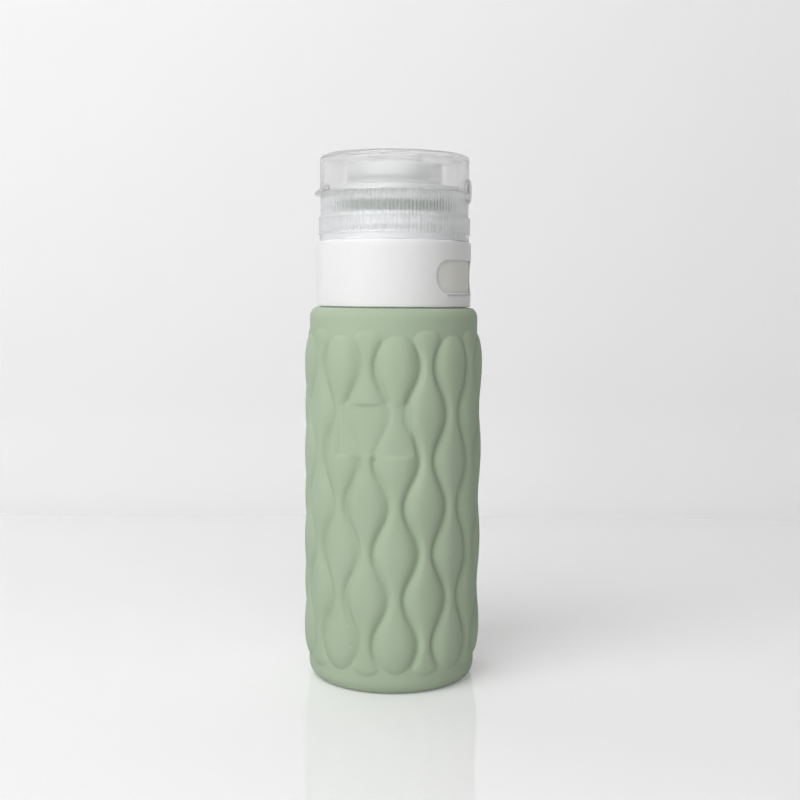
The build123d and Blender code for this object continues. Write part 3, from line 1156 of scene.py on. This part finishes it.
def stage_material(name, colour, roughness, specular, lifted):
    """A pale surface, lifted a little where it is seen directly or through the lid."""
    material, nodes, links = new_material(name)
    shader = nodes["Principled BSDF"]
    shader.inputs["Base Color"].default_value = (*colour, 1)
    shader.inputs["Roughness"].default_value = roughness
    shader.inputs["Specular IOR Level"].default_value = specular
    path = nodes.new("ShaderNodeLightPath")
    rays = [path.outputs[ray] for ray in ("Is Camera Ray", "Is Transmission Ray")]
    seen = add_math(nodes, links, "ADD", *rays)
    lift = add_math(nodes, links, "MULTIPLY", seen.outputs["Value"], lifted)
    shader.inputs["Emission Color"].default_value = (1, 1, 1, 1)
    links.new(lift.outputs["Value"], shader.inputs["Emission Strength"])
    return material


def add_stage_piece(name, outline, material):
    """A sheet as wide as the stage, swept along an outline of (y, z) points in metres."""
    vertices, faces = [], []
    for y, z in outline:
        vertices += [(-stage_half_width, y, z), (stage_half_width, y, z)]
    for row in range(len(outline) - 1):
        first = 2 * row
        faces.append((first, first + 1, first + 3, first + 2))
    mesh = bpy.data.meshes.new(name)
    mesh.from_pydata(vertices, [], faces)
    for polygon in mesh.polygons:
        polygon.use_smooth = True
    mesh.materials.append(material)
    sheet = bpy.data.objects.new(name, mesh)
    bpy.context.scene.collection.objects.link(sheet)


def make_stage():
    """A pale glossy table with a matt wall that rises behind it on a soft bend."""
    bend_start = stage_back - stage_bend
    floor = [(stage_front, 0.0), (bend_start, 0.0)]
    wall = [(bend_start, 0.0)]
    for step in range(1, 17):
        turn = pi / 2 * step / 16
        wall.append((bend_start + stage_bend * sin(turn), stage_bend * (1 - cos(turn))))
    wall.append((stage_back, stage_height))
    glossy = stage_material("pale_floor", floor_colour, 0.02, 0.5, floor_lift)
    matt = stage_material("pale_wall", wall_colour, 0.9, 0.1, wall_lift)
    add_stage_piece("stage_floor", floor, glossy)
    add_stage_piece("stage_wall", wall, matt)


def add_softbox(name, azimuth, elevation, distance, size, power, colour, target):
    """A square lamp that faces the bottle, at an azimuth from the camera's side."""
    lamp = bpy.data.lights.new(name, "AREA")
    lamp.shape = "RECTANGLE"
    lamp.size, lamp.size_y = size
    lamp.energy = power
    lamp.color = colour
    holder = bpy.data.objects.new(name, lamp)
    across, up = radians(azimuth), radians(elevation)
    way = Vector((sin(across) * cos(up), -cos(across) * cos(up), sin(up)))
    holder.location = Vector(target) + way * distance
    holder.rotation_euler = (-way).to_track_quat("-Z", "Y").to_euler()
    bpy.context.scene.collection.objects.link(holder)


def make_world():
    """A weak fill light from all round, which is pale where it is seen directly."""
    world = bpy.data.worlds.new("studio")
    world.use_nodes = True
    nodes, links = world.node_tree.nodes, world.node_tree.links
    background = nodes["Background"]
    background.inputs["Color"].default_value = (1.0, 0.97, 0.9, 1)
    path = nodes.new("ShaderNodeLightPath")
    is_camera = path.outputs["Is Camera Ray"]
    strength = add_math(nodes, links, "MULTIPLY_ADD", is_camera, world_lift, world_strength)
    links.new(strength.outputs["Value"], background.inputs["Strength"])
    bpy.context.scene.world = world


def make_camera():
    """The photograph's view, fitted to the bottle: metres, radians and pixels."""
    distance, height = 0.30082, 0.09803
    pitch, roll, yaw = 0.0902, 0.008, 0.0059
    focal_pixels, image_width, sensor = 1176.18, 800.0, 36.0
    level_way = Vector((sin(yaw), cos(yaw), 0))
    right = Vector((cos(yaw), -sin(yaw), 0))
    up = level_way * sin(pitch) + Vector((0, 0, cos(pitch)))
    forward = level_way * cos(pitch) - Vector((0, 0, sin(pitch)))
    turned_right = right * cos(roll) + up * sin(roll)
    turned_up = up * cos(roll) - right * sin(roll)
    data = bpy.data.cameras.new("camera")
    data.sensor_width = sensor
    data.lens = focal_pixels / image_width * sensor
    data.clip_start = 0.01
    camera = bpy.data.objects.new("camera", data)
    axes = Matrix((turned_right, turned_up, -forward)).transposed()
    camera.matrix_world = Matrix.Translation((0, -distance, height)) @ axes.to_4x4()
    bpy.context.scene.collection.objects.link(camera)
    bpy.context.scene.camera = camera


def main():
    silicone = silicone_material()
    collar_plastic = white_material("collar_plastic", (0.84, 0.84, 0.845), (0.855, 0.855, 0.86), 0.3)
    ring_plastic = white_material("ring_plastic", (0.84, 0.845, 0.85), (0.87, 0.875, 0.88), 0.35)
    drum_plastic = white_material("drum_plastic", (0.79, 0.79, 0.75), (0.83, 0.83, 0.79), 0.4)
    lid_plastic = clear_material(
        "lid_plastic", (1.0, 1.0, 1.0), transmission=0.9, roughness=0.14, ior=1.4, alpha=0.88
    )
    cap_plastic = clear_material(
        "cap_plastic",
        (0.91, 0.92, 0.93),
        transmission=0.82,
        roughness=0.32,
        ior=1.49,
        coat=0.4,
        painted_glow=0.03,
    )
    milky = clear_material(
        "milky_silicone",
        (0.93, 0.93, 0.93),
        transmission=0.5,
        roughness=0.35,
        ior=1.42,
        alpha=0.9,
        painted_glow=0.01,
    )
    make_silicone_skin(silicone)
    make_parting_line(silicone, "parting_line_right", parting_angle)
    make_parting_line(silicone, "parting_line_left", parting_angle - 180)
    make_collar(collar_plastic)
    make_cap_shell(cap_plastic)
    make_lid_shell(lid_plastic)
    make_strap(lid_plastic)
    paint_node("neck_ring", ring_plastic, "white_plastic")
    paint_node("label_drum", drum_plastic, "label_plastic")
    paint_node("cap_seal", milky, "clear_silicone")
    paint_node("slit_valve", milky, "clear_silicone")
    paint_node("valve_retainer", cap_plastic, "clear_plastic")
    make_stage()
    make_world()
    target = (0, 0, 0.07)
    add_softbox("key", -39, 40, 0.9, (0.7, 0.9), 7.2, (1.0, 1.0, 1.0), target)
    add_softbox("front", 12, 30, 0.9, (0.7, 0.7), 1.4, (1.0, 1.0, 1.0), target)
    add_softbox("back", 180, 35, 1.1, (0.9, 0.7), 3.0, (1.0, 1.0, 1.0), target)
    make_camera()
    settings = bpy.context.scene.view_settings
    settings.view_transform = "Standard"


main()
